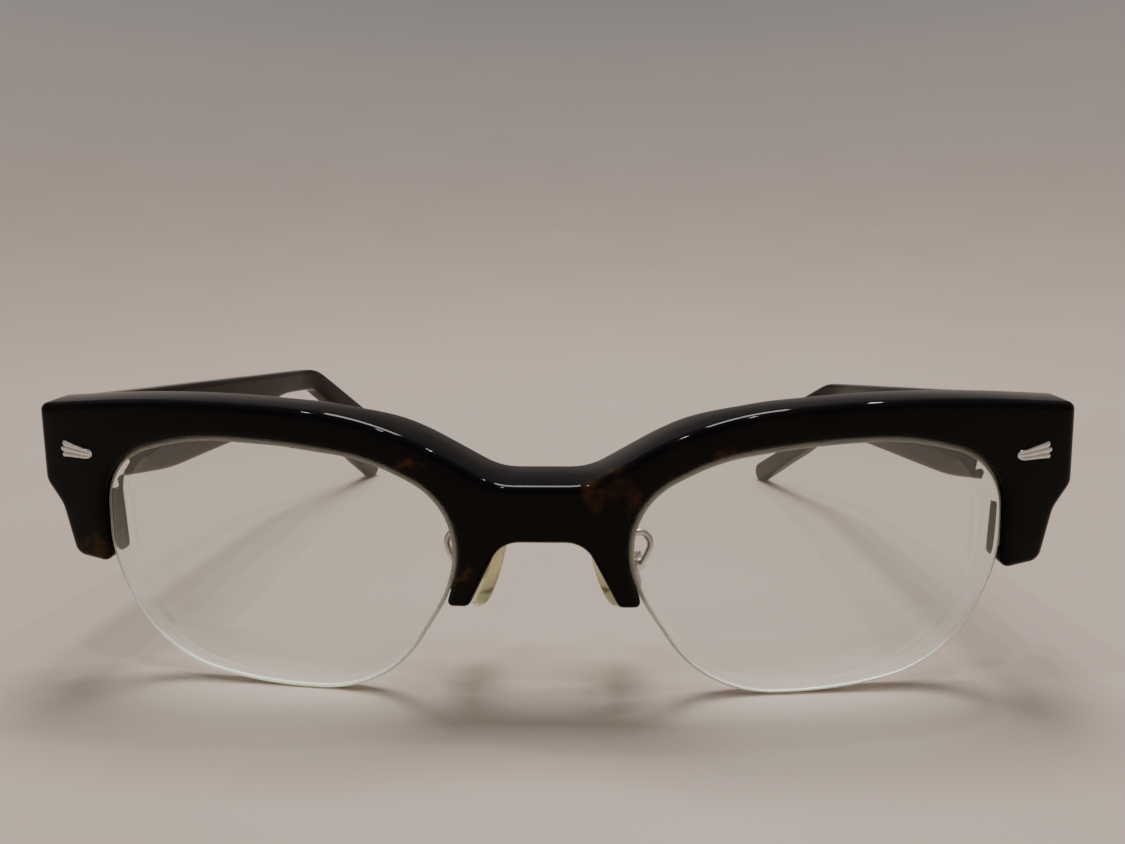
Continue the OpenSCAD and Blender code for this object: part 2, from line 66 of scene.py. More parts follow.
# ---------- sizes of the design, in millimetres and degrees ----------
LENS_W = 50.8
LENS_H = 36.6
LENS_FRONT_R = 170
LENS_REAR_R = {"left": 88, "right": 100}
LENS_CENTRE_T = 1.4
LENS_SETBACK = 0.8
LENS_GAP = 0.1
GROOVE_SETBACK = 0.6
GROOVE_W = 0.6
BRIDGE_W = 22.8
BRIDGE_H = 8
BROW_H = 5.5
END_W = 9.1
RIM_T = 6.4
BRIDGE_T = 9.6
FRONT_R = 300
LEAN = math.radians(3.5)
FRONT_ROUND = 1.15
REAR_ROUND = 0.6
TEMPLE_L = 91
TIP_L = 52
TEMPLE_H = 12.4
NECK_H = 5
TIP_H = 6.8
TEMPLE_T = 4.2
TEMPLE_ROUND = 1.35
TEMPLE_INNER_ROUND = 1.1
TEMPLE_SLOPE = {"left": math.radians(7.5), "right": math.radians(5)}
TEMPLE_INWARD = 0.015
TIP_IN = {"left": 15, "right": 11}
BUTT_GAP = 0.3
KNUCKLE_R = 1.5
KNUCKLE_H = 1.05
KNUCKLE_GAP = 0.06
SCREW_R = 0.65
PIVOT_BACK = 1.9
PLATE_T = 1.1
PLATE_PROUD = 0.2
PAD_L = 14
PAD_W = 7.6
PAD_T = 2.4
PAD_SPLAY = math.radians(25)
PAD_LEAN = math.radians(20)
ARM_R = 0.55
PAD_SCREW_R = 0.5
BOX_WALL = 0.45
BOX_ROOM = 1.15

REAR_R = FRONT_R - RIM_T
HALF_W = BRIDGE_W / 2 + LENS_W + END_W
BROW_Z = LENS_H + BROW_H
BRIDGE_Z = LENS_H - 13.5
NASAL_Z = LENS_H - 22.8
TEMPORAL_Z = LENS_H - 19.5
KNEE_Z = LENS_H - 7.6
TOP_OUTER_Z = BROW_Z - 1.95
HINGE_Z = LENS_H - 1.8
PLAQUE_Z = HINGE_Z - 1


# ---------- outlines: closed lists of corners (x, y, radius), counter-clockwise ----------
ARC_STEP = math.radians(9)
ARC_SPACING = 1.1
EDGE_SPACING = 1.5


def left_of(v):
    return Vector((-v[1], v[0]))


def corner_point(corners, i):
    return Vector(corners[i % len(corners)][:2])


def edge(corners, i):
    return corner_point(corners, i + 1) - corner_point(corners, i)


def turn_at(corners, i):
    """The angle by which the outline turns at corner i, positive to the left."""
    a, b = edge(corners, i - 1), edge(corners, i)
    return math.atan2(a.x * b.y - a.y * b.x, a.dot(b))


def inset(corners, distance, shares=None):
    """The outline moved inwards; shares holds how much of the distance each edge takes."""
    moved = []
    for i, (x, y, radius) in enumerate(corners):
        before = left_of(edge(corners, i - 1).normalized())
        after = left_of(edge(corners, i).normalized())
        d_before = distance * (shares[i - 1] if shares else 1)
        d_after = distance * (shares[i] if shares else 1)
        cross = before.x * after.y - before.y * after.x
        if abs(cross) < 1e-6:
            step = before * d_before
        else:
            step = Vector((d_before * after.y - d_after * before.y,
                           d_after * before.x - d_before * after.x)) / cross
        turn = turn_at(corners, i)
        radius = max(0.0, radius - math.copysign(distance, turn)) if radius else 0.0
        moved.append((x + step.x, y + step.y, radius))
    return moved


def tangent_lengths(corners):
    """How far each corner's arc reaches along its edges, shortened where two arcs would meet."""
    count = len(corners)
    reach = [c[2] * math.tan(abs(turn_at(corners, i)) / 2) for i, c in enumerate(corners)]
    room = [min(1, edge(corners, i).length / max(0.001, reach[i] + reach[(i + 1) % count]))
            for i in range(count)]
    return [reach[i] * min(room[i], room[i - 1]) for i in range(count)]


def steps_of(corners):
    """The number of steps in each corner's arc and along the edge after it."""
    reach, count = tangent_lengths(corners), len(corners)
    steps = []
    for i in range(count):
        turn = abs(turn_at(corners, i))
        arc = reach[i] / max(1e-6, math.tan(turn / 2)) * turn
        straight = edge(corners, i).length - reach[i] - reach[(i + 1) % count]
        steps.append((max(1, math.ceil(turn / ARC_STEP), math.ceil(arc / ARC_SPACING)) if reach[i] else 0,
                      max(1, math.ceil(straight / EDGE_SPACING))))
    return steps


def trace(corners, steps=None):
    """The points of the rounded outline. The same steps give outlines whose points match."""
    steps = steps or steps_of(corners)
    reach, count = tangent_lengths(corners), len(corners)
    points = []
    for i in range(count):
        turn, here = turn_at(corners, i), corner_point(corners, i)
        before, after = edge(corners, i - 1).normalized(), edge(corners, i).normalized()
        arc_steps, edge_steps = steps[i]
        radius = reach[i] / max(1e-9, math.tan(abs(turn) / 2))
        start = here - before * reach[i]
        side = left_of(before) * math.copysign(radius, turn)
        for k in range(arc_steps + 1):
            spoke = side.copy()
            spoke.rotate(Matrix.Rotation(turn * k / max(1, arc_steps), 2))
            points.append(start + side - spoke)
        leave = here + after * reach[i]
        arrive = corner_point(corners, i + 1) - after * reach[(i + 1) % count]
        points += [leave.lerp(arrive, k / edge_steps) for k in range(1, edge_steps)]
    return points


def mirrored(corners):
    return [(-x, y, r) for x, y, r in reversed(corners)]


def on_lens(u, v, radius):
    """A corner of the lens's outline, as shares of the lens's box."""
    return (BRIDGE_W / 2 + u * LENS_W, v * LENS_H, radius)


def x_between(a, b, y):
    """Where the line through two corners crosses the height y."""
    return a[0] + (b[0] - a[0]) * (y - a[1]) / (b[1] - a[1])


RIM = [on_lens(0, 0.534, 13), on_lens(0, 0.786, 11), on_lens(0.2215, 0.942, 25),
       on_lens(0.4616, 1, 100), on_lens(0.7217, 1, 35), on_lens(0.9833, 0.9, 10)]
LOWER_EDGE = [on_lens(0.0295, 0.403, 16), on_lens(0.2114, 0, 18), on_lens(0.5787, 0, 64),
              on_lens(0.8864, 0.09, 17), on_lens(1.0026, 0.493, 20)]
LENS_OUTLINE = inset(LOWER_EDGE + RIM[::-1], LENS_GAP)
FRONT_HALF = [(5.5, BRIDGE_Z, 4), (10.05, NASAL_Z, 1.2),
              (x_between(RIM[0], LOWER_EDGE[0], NASAL_Z), NASAL_Z, 0.7)] + RIM + [
    (x_between(RIM[5], LOWER_EDGE[4], TEMPORAL_Z), TEMPORAL_Z, 1.2), (HALF_W - 3.3, TEMPORAL_Z + 0.8, 2),
    (HALF_W - 2.15, KNEE_Z - 3.5, 4), (HALF_W, KNEE_Z, 2.5), (HALF_W - 1, TOP_OUTER_Z, 1.2),
    (HALF_W - 22.2, BROW_Z, 175), (BRIDGE_W / 2 + 10.4, BROW_Z - 1.9, 42), (6, BRIDGE_Z + BRIDGE_H, 9)]
FRONT_OUTLINE = FRONT_HALF + mirrored(FRONT_HALF)


# ---------- curved surfaces of the design ----------
def depth_at(radius, x):
    """Depth of an arc about the front's centre of curvature, at a distance x from the middle."""
    return FRONT_R - math.sqrt(radius * radius - x * x)


BRIDGE_FLAT = BRIDGE_W / 2 + 6
BRIDGE_FADE = BRIDGE_W / 2 + 15.5


def rear_depth(x):
    """Depth of the front's rear face, which thickens smoothly behind the bridge."""
    x = abs(x)
    rim = depth_at(REAR_R, x)
    if x >= BRIDGE_FADE:
        return rim
    share = min(1, (BRIDGE_FADE - x) / (BRIDGE_FADE - BRIDGE_FLAT))
    fade = depth_at(REAR_R, BRIDGE_FADE)
    return max(rim, fade + (BRIDGE_T - fade) * share * share * (3 - 2 * share))


NASAL_P = Vector((BRIDGE_W / 2, depth_at(FRONT_R, BRIDGE_W / 2) + LENS_SETBACK))
TEMPORAL_P = Vector((BRIDGE_W / 2 + LENS_W, depth_at(FRONT_R, BRIDGE_W / 2 + LENS_W) + LENS_SETBACK))
CHORD = TEMPORAL_P - NASAL_P
CENTRE_XY = (NASAL_P + TEMPORAL_P) / 2 + left_of(CHORD.normalized()) * math.sqrt(
    LENS_FRONT_R ** 2 - CHORD.length_squared / 4)
BALL_C = Vector((CENTRE_XY.x, CENTRE_XY.y, LENS_H / 2))


def ball_depth(centre, radius, x, z):
    """Depth of the near side of a sphere at a place x, z."""
    return centre.y - math.sqrt(radius ** 2 - (x - centre.x) ** 2 - (z - centre.z) ** 2)


OPTIC_X = BRIDGE_W / 2 + LENS_W / 2 - 1
OPTIC_P = Vector((OPTIC_X, ball_depth(BALL_C, LENS_FRONT_R, OPTIC_X, LENS_H / 2), LENS_H / 2))
OPTIC_AXIS = (BALL_C - OPTIC_P).normalized()

# ---------- places: each turns a piece's own millimetres into the model's millimetres ----------
HINGE_X = HALF_W - 7.3
HINGE_TURN = math.asin(HINGE_X / REAR_R)
PIVOT_LOCAL = Vector((HINGE_X - PIVOT_BACK * math.sin(HINGE_TURN),
                      depth_at(REAR_R, HINGE_X) + PIVOT_BACK * math.cos(HINGE_TURN), HINGE_Z))
hinge_joint = next(j for j in frame["joints"] if j["name"] == "temple_left_fold")
PIVOT = Vector(hinge_joint["pos_m"]) / MM
LEANED = Matrix.Rotation(LEAN, 4, "X")
IN_FRONT = Matrix.Translation(PIVOT - (LEANED @ PIVOT_LOCAL)) @ LEANED
IN_TEMPLE = Matrix.Translation((0, PIVOT.y, PIVOT.z))
PAD_C = (BRIDGE_W / 2 - 2.5, BRIDGE_T + 3.9, NASAL_Z + 1.1)
IN_PAD_LOCAL = (Matrix.Translation(PAD_C) @ Matrix.Rotation(-PAD_SPLAY, 4, "Z")
                @ Matrix.Rotation(-PAD_LEAN, 4, "Y"))
IN_PAD = IN_FRONT @ IN_PAD_LOCAL


# ---------- meshes ----------
SHARP_ANGLE = math.radians(38)
CAP_SPACING = 1.6


class Shape:
    """Points and faces gathered in a piece's own millimetres, then made into one object."""

    def __init__(self):
        self.points, self.faces, self.looks = [], [], []

    def add_face(self, corners, look=0):
        self.faces.append(corners)
        self.looks.append(look)

    def add_rings(self, rings, look=0, closed=True):
        """A skin through rings of points, in the piece's material of that number."""
        first, count = len(self.points), len(rings[0])
        for ring in rings:
            self.points += [Vector(p) for p in ring]
        for r in range(len(rings) - 1):
            for i in range(count if closed else count - 1):
                a, b = first + r * count + i, first + r * count + (i + 1) % count
                self.add_face((a, b, b + count, a + count), look)

    def add_fan(self, ring):
        """A flat end on a ring."""
        first = len(self.points)
        self.points += [Vector(p) for p in ring]
        self.points.append(sum(self.points[first:], Vector()) / len(ring))
        for i in range(len(ring)):
            self.add_face((first + i, first + (i + 1) % len(ring), first + len(ring)))

    def add_cap(self, outline, lift, spacing=CAP_SPACING):
        """A surface inside a closed outline, gridded so that it follows lift(u, v)."""
        border = unique(outline)
        inner = grid_inside(border, spacing)
        sides = [(i, (i + 1) % len(border)) for i in range(len(border))]
        whole = [list(range(len(border)))]
        made = delaunay_2d_cdt([Vector(p) for p in border] + inner, sides, whole, 1, 1e-7)
        first = len(self.points)
        self.points += [Vector(lift(p.x, p.y)) for p in made[0]]
        for face in made[2]:
            self.add_face(tuple(first + i for i in face))

    def add_slab(self, corners, near, far, near_r, far_r, shares=None, rounds=5,
                 spacing=CAP_SPACING):
        """A plate with that outline, between the depths near(u, v) and far(u, v), with round edges."""
        steps = steps_of(corners)
        rings = []
        for radius, surface, sign in ((near_r, near, 1), (far_r, far, -1)):
            side = []
            for k in range(rounds + 1):
                angle = math.pi / 2 * k / rounds
                outline = trace(inset(corners, radius * (1 - math.sin(angle)), shares), steps)
                drop = sign * radius * (1 - math.cos(angle))
                side.append([(p.x, p.y, surface(p.x, p.y) + drop) for p in outline])
            rings += side[::sign]
        self.add_rings(rings)
        for ring, surface in ((rings[0], near), (rings[-1], far)):
            self.add_cap([Vector(p[:2]) for p in ring], lambda u, v, s=surface: (u, v, s(u, v)), spacing)

    def moved(self, how, start=0):
        """Changes the points from number start on by a function or a matrix."""
        for i in range(start, len(self.points)):
            p = self.points[i]
            self.points[i] = how @ p if isinstance(how, Matrix) else Vector(how(p))

    def made(self, name, side, matrix, looks):
        """The finished object, on that side of the model, with its materials."""
        flip = Matrix.Diagonal((side, 1, 1, 1))
        place = Matrix.Scale(MM, 4) @ flip @ matrix
        mesh = bpy.data.meshes.new(name)
        mesh.from_pydata([place @ p for p in self.points], [], self.faces)
        for material in looks:
            mesh.materials.append(material)
        mesh.polygons.foreach_set("material_index", self.looks)
        tidy_mesh(mesh)
        piece = bpy.data.objects.new(name, mesh)
        bpy.context.scene.collection.objects.link(piece)
        return piece


def tidy_mesh(mesh):
    """Joins the seams, drops empty faces, points all faces outwards and marks sharp edges."""
    work = bmesh.new()
    work.from_mesh(mesh)
    bmesh.ops.remove_doubles(work, verts=work.verts, dist=1e-6)
    bmesh.ops.dissolve_degenerate(work, edges=work.edges, dist=1e-7)
    bmesh.ops.recalc_face_normals(work, faces=work.faces)
    for face in work.faces:
        face.smooth = True
    for line in work.edges:
        line.smooth = len(line.link_faces) == 2 and line.calc_face_angle(0) < SHARP_ANGLE
    work.to_mesh(mesh)
    work.free()


def unique(outline):
    """The outline without points that fall on the one before."""
    kept = []
    for p in outline:
        if not kept or (p - kept[-1]).length > 1e-4:
            kept.append(p)
    return kept if (kept[0] - kept[-1]).length > 1e-4 else kept[:-1]


def grid_inside(border, spacing):
    """Grid points inside a closed outline and clear of its edge."""
    a = np.array(border)
    b = np.roll(a, -1, axis=0)
    low, high = a.min(0), a.max(0)
    across = np.arange(low[0] + spacing / 2, high[0], spacing)
    up = np.arange(low[1] + spacing / 2, high[1], spacing)
    if not len(across) or not len(up):
        return []
    grid = np.array([(x, y) for x in across for y in up])
    px, py = grid[:, 0:1], grid[:, 1:2]
    crosses = (a[:, 1] > py) != (b[:, 1] > py)
    rise = np.where(np.abs(b[:, 1] - a[:, 1]) < 1e-12, 1e-12, b[:, 1] - a[:, 1])
    inside = (crosses & (px < (b[:, 0] - a[:, 0]) * (py - a[:, 1]) / rise + a[:, 0])).sum(1) % 2 == 1
    along = np.clip(((px - a[:, 0]) * (b - a)[:, 0] + (py - a[:, 1]) * (b - a)[:, 1])
                    / ((b - a) ** 2).sum(1), 0, 1)
    gap = np.hypot(a[:, 0] + along * (b - a)[:, 0] - px, a[:, 1] + along * (b - a)[:, 1] - py).min(1)
    return [Vector(p) for p in grid[inside & (gap > 0.45 * spacing)]]


def circle(radius, height, sides=32):
    turns = [2 * math.pi * k / sides for k in range(sides)]
    return [(radius * math.cos(a), radius * math.sin(a), height) for a in turns]


def add_turned(shape, profile):
    """A solid of revolution about Z from (radius, height) pairs, closed at both ends."""
    rings = [circle(radius, height) for radius, height in profile]
    shape.add_rings(rings)
    shape.add_fan(rings[0])
    shape.add_fan(rings[-1])


PATH_STEPS = 10


def smooth_path(points):
    """A Catmull-Rom curve through the points."""
    points = [Vector(p) for p in points]
    ends = [points[0] * 2 - points[1]] + points + [points[-1] * 2 - points[-2]]
    path = []
    for i in range(len(points) - 1):
        p0, p1, p2, p3 = ends[i:i + 4]
        for k in range(PATH_STEPS):
            t = k / PATH_STEPS
            path.append(0.5 * (2 * p1 + (p2 - p0) * t + (2 * p0 - 5 * p1 + 4 * p2 - p3) * t ** 2
                               + (3 * p1 - p0 - 3 * p2 + p3) * t ** 3))
    return path + [points[-1]]


TUBE_SIDES = 16


def add_tube(shape, path, radius):
    """A round wire along a path, with slightly rounded ends."""
    last = len(path) - 1
    tangents = [(path[min(i + 1, last)] - path[max(i - 1, 0)]).normalized() for i in range(last + 1)]
    normal = tangents[0].orthogonal().normalized()
    turns = [2 * math.pi * k / TUBE_SIDES for k in range(TUBE_SIDES)]
    rings = []
    for point, tangent in zip(path, tangents):
        normal = (normal - tangent * normal.dot(tangent)).normalized()
        across = tangent.cross(normal)
        rings.append([point + radius * (normal * math.cos(a) + across * math.sin(a)) for a in turns])
    for end, tangent in ((0, -tangents[0]), (-1, tangents[-1])):
        blunt = [path[end] + (p - path[end]) * 0.8 + tangent * radius * 0.3 for p in rings[end]]
        rings = [blunt] + rings if end == 0 else rings + [blunt]
    shape.add_rings(rings)
    shape.add_fan(rings[0])
    shape.add_fan(rings[-1])


# ---------- materials ----------
def new_material(name, **values):
    """A Principled material with its plain numbers set on the shader's own sockets."""
    made = bpy.data.materials.new(name)
    made.use_nodes = True
    shader = made.node_tree.nodes["Principled BSDF"]
    for socket, value in values.items():
        shader.inputs[socket.replace("_", " ")].default_value = value
    return made, made.node_tree, shader


def set_input(tree, socket, value):
    """Links the socket to another one, or gives it a plain value."""
    if isinstance(value, bpy.types.NodeSocket):
        tree.links.new(value, socket)
    else:
        socket.default_value = value


def node(tree, kind, inputs=None, **settings):
    """A new node; inputs holds plain values or sockets to link from."""
    made = tree.nodes.new(kind)
    for key, value in settings.items():
        setattr(made, key, value)
    for key, value in (inputs or {}).items():
        set_input(tree, made.inputs[key], value)
    return made


def object_place(tree):
    return node(tree, "ShaderNodeTexCoord").outputs["Object"]


def stretched_place(tree, scale):
    """Object coordinates scaled for each axis; a small scale draws marks out along that axis."""
    inputs = {"Vector": object_place(tree), "Scale": scale}
    return node(tree, "ShaderNodeMapping", inputs).outputs["Vector"]


def noise(tree, place, scale, detail=2.0, distortion=0.0, output="Fac"):
    inputs = {"Vector": place, "Scale": scale, "Detail": detail, "Distortion": distortion}
    return node(tree, "ShaderNodeTexNoise", inputs).outputs[output]


def spread(tree, value, low, high, to_low=0.0, to_high=1.0):
    """The value's range low to high stretched smoothly over another range."""
    return node(tree, "ShaderNodeMapRange", {"Value": value, "From Min": low, "From Max": high,
                                             "To Min": to_low, "To Max": to_high},
                interpolation_type="SMOOTHSTEP").outputs["Result"]


def mix(tree, share, a, b):
    """A blend of two colours, or the outputs that carry them."""
    made = node(tree, "ShaderNodeMix", data_type="RGBA")
    for key, value in (("Factor", share), ("A", a), ("B", b)):
        socket = next(s for s in made.inputs if s.name == key and (key == "Factor" or s.type == "RGBA"))
        set_input(tree, socket, value)
    return next(s for s in made.outputs if s.type == "RGBA")


def maths(tree, operation, a, b):
    return node(tree, "ShaderNodeMath", {0: a, 1: b}, operation=operation).outputs[0]


def vector_maths(tree, operation, *values):
    return node(tree, "ShaderNodeVectorMath", dict(enumerate(values)), operation=operation)


def colour_from(tree, shader, share, a, b):
    """Sets the base colour to a blend of two colours, each red, green, blue or an output."""
    a, b = ((*c, 1) if isinstance(c, tuple) else c for c in (a, b))
    tree.links.new(mix(tree, share, a, b), shader.inputs["Base Color"])


def roughness_from(tree, shader, value, low, high, smooth, rough):
    """Sets the roughness from smooth to rough as the value goes from low to high."""
    tree.links.new(spread(tree, value, low, high, smooth, rough), shader.inputs["Roughness"])


def bump(tree, shader, height, strength, distance):
    made = node(tree, "ShaderNodeBump", {"Height": height, "Strength": strength, "Distance": distance})
    tree.links.new(made.outputs["Normal"], shader.inputs["Normal"])


# Painted glow: warm patches painted where light would shine through the front's thin acetate: place in the
# model and radius in metres, strength
PAINTED_GLOW_SPOTS = [((-0.0177, -0.0771, 0.0323), 0.0030, 0.75), ((0.0245, -0.0767, 0.0348), 0.0026, 0.6),
              ((0.0091, -0.0774, 0.0306), 0.0038, 0.42), ((-0.0109, -0.0766, 0.0189), 0.0026, 0.5),
              ((-0.0651, -0.0696, 0.0188), 0.0032, 0.4)]
# How far a noise shifts the patches' edges along each axis, in metres
WOBBLE = (0.012, 0.006, 0.018)


def painted_glow_spots(tree, place):
    """Soft uneven masks for a painted glow, where light shining through thin acetate is painted into the
    colour.
    """
    wobble = noise(tree, place, 260, 3, output="Color")
    shift = vector_maths(tree, "SUBTRACT", wobble, (0.5, 0.5, 0.5)).outputs[0]
    place = vector_maths(tree, "MULTIPLY_ADD", shift, WOBBLE, place).outputs[0]
    total = None
    for centre, radius, strength in PAINTED_GLOW_SPOTS:
        gap = vector_maths(tree, "DISTANCE", place, centre).outputs["Value"]
        mask = spread(tree, gap, radius, radius * 0.2, 0.0, strength)
        total = mask if total is None else maths(tree, "MAXIMUM", total, mask)
    return total


def front_acetate():
    """Near-black tortoise: brown clouds, a few amber patches of painted glow from light through thin
    acetate, a deep polish with faint rub marks.
    """
    made, tree, shader = new_material("front_acetate", IOR=1.4, Specular_IOR_Level=0.15)
    place = object_place(tree)
    clouds = spread(tree, noise(tree, place, 75, 3, 0.8), 0.52, 0.72)
    streaks = spread(tree, noise(tree, place, 210, 4, 1.5), 0.42, 0.62)
    streak_mask = maths(tree, "ADD", maths(tree, "MULTIPLY", streaks, 0.5), 0.2)
    # Painted glow: a warm colour painted in where light would shine through, thinned by the streaks
    painted_glow = maths(tree, "MULTIPLY", painted_glow_spots(tree, place), streak_mask)
    dark = mix(tree, clouds, (0.0022, 0.0020, 0.0021, 1), (0.0055, 0.0034, 0.003, 1))
    colour_from(tree, shader, painted_glow, dark, (0.13, 0.045, 0.012))
    roughness_from(tree, shader, noise(tree, place, 900, 3), 0.35, 0.75, 0.035, 0.08)
    bump(tree, shader, noise(tree, place, 160, 2), 0.08, 0.0002)
    return made


def temple_acetate():
    """Dark brown horn-like acetate with lengthwise streaks and a softer polish."""
    made, tree, shader = new_material("temple_acetate", IOR=1.3, Specular_IOR_Level=0.25)
    place = stretched_place(tree, (1, 0.18, 0.7))
    clouds = spread(tree, noise(tree, place, 120, 4, 1.2), 0.4, 0.68)
    fine = spread(tree, noise(tree, place, 520, 3, 0.5), 0.35, 0.7)
    base = mix(tree, clouds, (0.0035, 0.0024, 0.0021, 1), (0.009, 0.0055, 0.004, 1))
    colour_from(tree, shader, maths(tree, "MULTIPLY", fine, 0.4), base, (0.012, 0.007, 0.005))
    roughness_from(tree, shader, noise(tree, place, 300, 2), 0.3, 0.7, 0.13, 0.2)
    bump(tree, shader, noise(tree, place, 200, 2), 0.06, 0.0002)
    return made


def clear_to_lamps(tree, shader, tint):
    """Lets lamp light through a clear piece, so that it casts only a faint shadow."""
    path = node(tree, "ShaderNodeLightPath")
    through = node(tree, "ShaderNodeBsdfTransparent", {"Color": tint})
    both = node(tree, "ShaderNodeMixShader", {"Fac": path.outputs["Is Shadow Ray"]})
    tree.links.new(shader.outputs["BSDF"], both.inputs[1])
    tree.links.new(through.outputs["BSDF"], both.inputs[2])
    tree.links.new(both.outputs["Shader"], tree.nodes["Material Output"].inputs["Surface"])


LENS_IOR = 1.7


def lens_glass():
    """Coated lens plastic, clear with a faint green cast and barely visible smears."""
    made, tree, shader = new_material("lens_glass", IOR=LENS_IOR, Specular_IOR_Level=0.03,
                                      Transmission_Weight=1.0)
    place = object_place(tree)
    colour_from(tree, shader, spread(tree, noise(tree, place, 60, 2), 0.3, 0.7), (0.955, 0.985, 0.965),
                (0.97, 0.99, 0.975))
    roughness_from(tree, shader, noise(tree, place, 90, 4, 2), 0.62, 0.85, 0.0, 0.03)
    clear_to_lamps(tree, shader, (0.80, 0.82, 0.80, 1))
    return made


def lens_edge():
    """The ground edge of the lens: frosted, pale green, with fine grinding lines."""
    made, tree, shader = new_material("lens_edge", IOR=LENS_IOR, Transmission_Weight=0.15)
    place = object_place(tree)
    colour_from(tree, shader, noise(tree, place, 700, 3), (0.60, 0.61, 0.51), (0.74, 0.76, 0.66))
    roughness_from(tree, shader, noise(tree, place, 2500, 2), 0.3, 0.7, 0.42, 0.62)
    bump(tree, shader, noise(tree, place, 4000, 2), 0.2, 0.00005)
    return made


def nylon():
    """Clear monofilament, slightly milky."""
    made, tree, shader = new_material("nylon", IOR=1.53, Transmission_Weight=0.35)
    place = object_place(tree)
    colour_from(tree, shader, noise(tree, place, 300, 2), (0.80, 0.80, 0.70), (0.92, 0.92, 0.85))
    roughness_from(tree, shader, noise(tree, place, 1800, 2), 0.3, 0.7, 0.22, 0.36)
    return made


def metal(name, dull, bright, rough, grain, stretch=(1, 1, 1)):
    """A metal whose tone and gloss vary along fine polishing or drawing marks."""
    made, tree, shader = new_material(name, Metallic=1.0)
    marks = noise(tree, stretched_place(tree, stretch), grain, 4)
    colour_from(tree, shader, marks, dull, bright)
    roughness_from(tree, shader, marks, 0.3, 0.7, rough * 0.7, rough * 1.3)
    bump(tree, shader, marks, 0.06, 0.00003)
    return made


def pad_plastic():
    """Clear soft plastic that has yellowed, more so in cloudy patches."""
    made, tree, shader = new_material("pad_plastic", IOR=1.43, Transmission_Weight=0.9)
    place = object_place(tree)
    colour_from(tree, shader, noise(tree, place, 160, 2, 0.5), (0.86, 0.83, 0.55), (0.78, 0.74, 0.44))
    roughness_from(tree, shader, noise(tree, place, 900, 3), 0.3, 0.75, 0.06, 0.2)
    clear_to_lamps(tree, shader, (0.75, 0.72, 0.55, 1))
    return made


LOOKS = {
    "front_acetate": front_acetate(),
    "temple_acetate": temple_acetate(),
    "lens": lens_glass(),
    "lens_edge": lens_edge(),
    "nylon": nylon(),
    "plaque_metal": metal("plaque_metal", (0.62, 0.60, 0.57), (0.90, 0.89, 0.87), 0.12, 1400),
    "hinge_metal": metal("hinge_metal", (0.52, 0.51, 0.49), (0.74, 0.73, 0.70), 0.26, 900, (1, 1, 6)),
    "screw_metal": metal("screw_metal", (0.58, 0.57, 0.55), (0.80, 0.79, 0.77), 0.2, 2200),
    "core_metal": metal("core_metal", (0.50, 0.49, 0.46), (0.70, 0.69, 0.66), 0.3, 1500, (1, 0.05, 1)),
    "pad_metal": metal("pad_metal", (0.58, 0.56, 0.50), (0.86, 0.85, 0.80), 0.14, 1200),
    "pad_plastic": pad_plastic(),
}


def fit(shape, name, side, matrix, body, slot, *replaced, looks=None):
    """Makes the shape into a piece that rides on a body and stands for its CAD nodes."""
    piece = shape.made(name, side, matrix, looks or [LOOKS[slot]])
    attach(piece, body)
    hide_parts(*replaced)


# ---------- camera, first of all ----------
CAMERA_AT = Vector((0.0075, -0.18255, 0.0594))
CAMERA_TURN = math.radians(2.54)
CAMERA_DOWN = math.radians(10.85)
CAMERA_ROLL = math.radians(-0.48)
SENSOR_W = 36
FOCAL_LENGTH = 27.2


def make_camera():
    camera = bpy.data.objects.new("camera", bpy.data.cameras.new("camera"))
    bpy.context.scene.collection.objects.link(camera)
    ahead = Vector((-math.sin(CAMERA_TURN) * math.cos(CAMERA_DOWN),
                    math.cos(CAMERA_TURN) * math.cos(CAMERA_DOWN), -math.sin(CAMERA_DOWN)))
    right = Vector((math.cos(CAMERA_TURN), math.sin(CAMERA_TURN), 0))
    up = right.cross(ahead)
    rolled_right = right * math.cos(CAMERA_ROLL) + up * math.sin(CAMERA_ROLL)
    rolled_up = up * math.cos(CAMERA_ROLL) - right * math.sin(CAMERA_ROLL)
    turn = Matrix((rolled_right, rolled_up, -ahead)).transposed().to_4x4()
    camera.matrix_world = Matrix.Translation(CAMERA_AT) @ turn
    camera.data.sensor_width = SENSOR_W
    camera.data.lens = FOCAL_LENGTH
    camera.data.clip_start = 0.005
    bpy.context.scene.camera = camera


make_camera()


# ---------- front ----------
def make_front():
    shape = Shape()
    shape.add_slab(FRONT_OUTLINE, lambda x, z: depth_at(FRONT_R, x), lambda x, z: rear_depth(x),
                   FRONT_ROUND, REAR_ROUND)
    shape.moved(lambda p: (p.x, p.z, p.y))
    fit(shape, "brow_front", 1, IN_FRONT, "front_frame", "front_acetate", "front")


make_front()


# ---------- lenses, cords and liners ----------
LENS_SPACING = 1.2
REAR_BEVEL = 0.15
FRONT_BEVEL = {"left": 0.5, "right": 0.3}
GROOVE_DEEP = 0.6
GROOVE_HALF = 0.34
GROOVE_STEPS = 6
CORD_R = 0.27
CORD_IN = 0.31


def groove_depth(x, z):
    """Depth of the middle of the lens groove."""
    return ball_depth(BALL_C, LENS_FRONT_R - GROOVE_SETBACK - GROOVE_W / 2, x, z)


